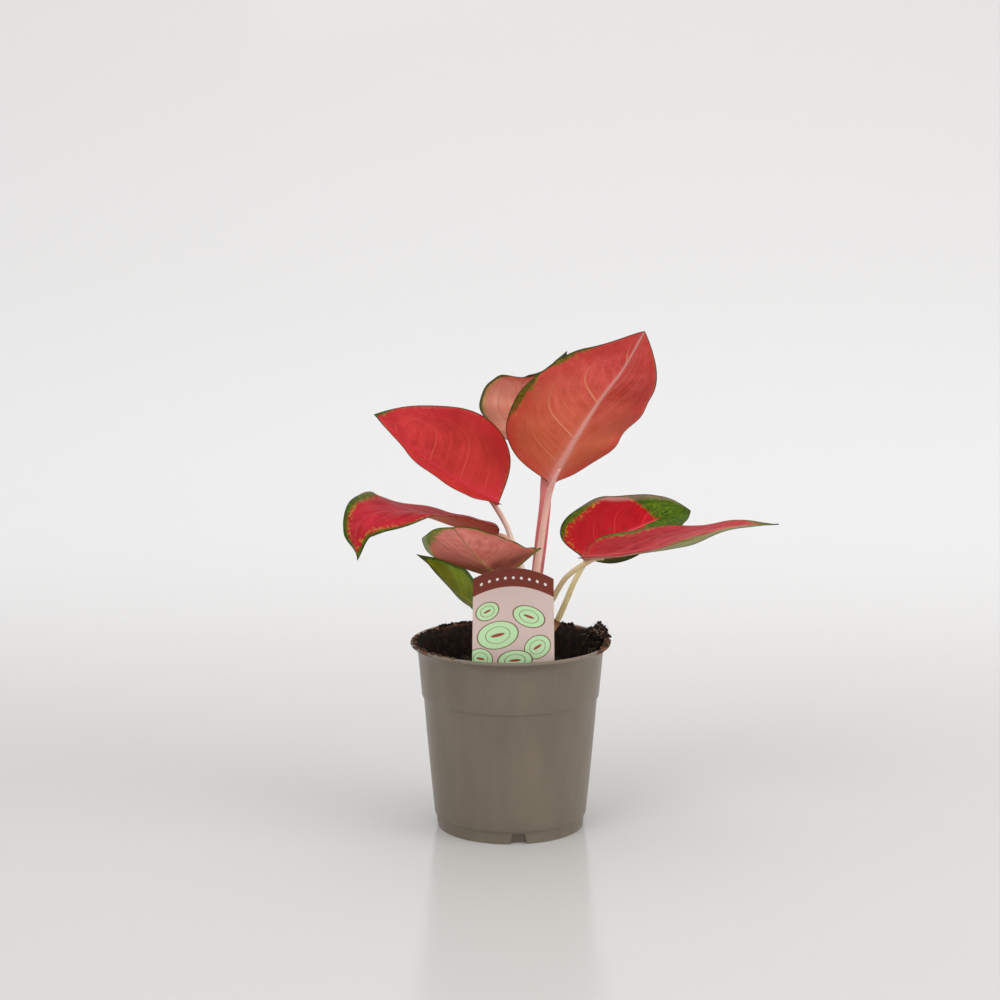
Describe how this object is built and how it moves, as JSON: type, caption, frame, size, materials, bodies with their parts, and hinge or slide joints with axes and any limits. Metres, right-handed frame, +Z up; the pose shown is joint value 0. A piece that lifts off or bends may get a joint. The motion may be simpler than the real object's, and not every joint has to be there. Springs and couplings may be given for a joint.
{
  "type": "potted chinese evergreen",
  "caption": "Chinese evergreen with broad red and green leaves on pale stalks, growing in a round tapered nursery pot with a plant tag stuck in its soil.",
  "frame": {"origin": "centre of the pot's flat underside, which rests on the floor", "axes": "+Z up along the pot's axis, +X to the right of the side with the tag, +Y away from the tag, which stands on the -Y side"},
  "size_m": [0.249, 0.1654, 0.3043],
  "materials": {
    "pot": "satin taupe plastic",
    "soil": "damp dark peat with crumbs",
    "rim_clump": "dry roots and peat",
    "tag": "glossy printed card",
    "crown": "fleshy sheathed stem",
    "stalk_tall": "smooth fleshy stalk",
    "blade_tall": "waxy leaf, satin",
    "stalk_tall_back": "smooth fleshy stalk",
    "blade_tall_back": "waxy leaf, satin",
    "stalk_upper_left": "smooth fleshy stalk",
    "blade_upper_left": "waxy leaf, satin",
    "stalk_left": "smooth fleshy stalk",
    "blade_left": "waxy leaf, satin",
    "stalk_front_left": "smooth fleshy stalk",
    "blade_front_left": "waxy leaf, satin",
    "stalk_low_left": "smooth fleshy stalk",
    "blade_low_left": "waxy leaf, satin",
    "stalk_right_back": "smooth fleshy stalk",
    "blade_right_back": "waxy leaf, satin",
    "stalk_right_front": "smooth fleshy stalk",
    "blade_right_front": "waxy leaf, satin"
  },
  "bodies": {
    "root": {"pot": "pot", "soil": "soil", "rim_clump": "rim_clump", "tag": "tag", "crown": "crown", "stalk_tall": "stalk_tall", "blade_tall": "blade_tall", "stalk_tall_back": "stalk_tall_back", "blade_tall_back": "blade_tall_back", "stalk_upper_left": "stalk_upper_left", "blade_upper_left": "blade_upper_left", "stalk_left": "stalk_left", "blade_left": "blade_left", "stalk_front_left": "stalk_front_left", "blade_front_left": "blade_front_left", "stalk_low_left": "stalk_low_left", "blade_low_left": "blade_low_left", "stalk_right_back": "stalk_right_back", "blade_right_back": "blade_right_back", "stalk_right_front": "stalk_right_front", "blade_right_front": "blade_right_front"}
  },
  "joints": []
}
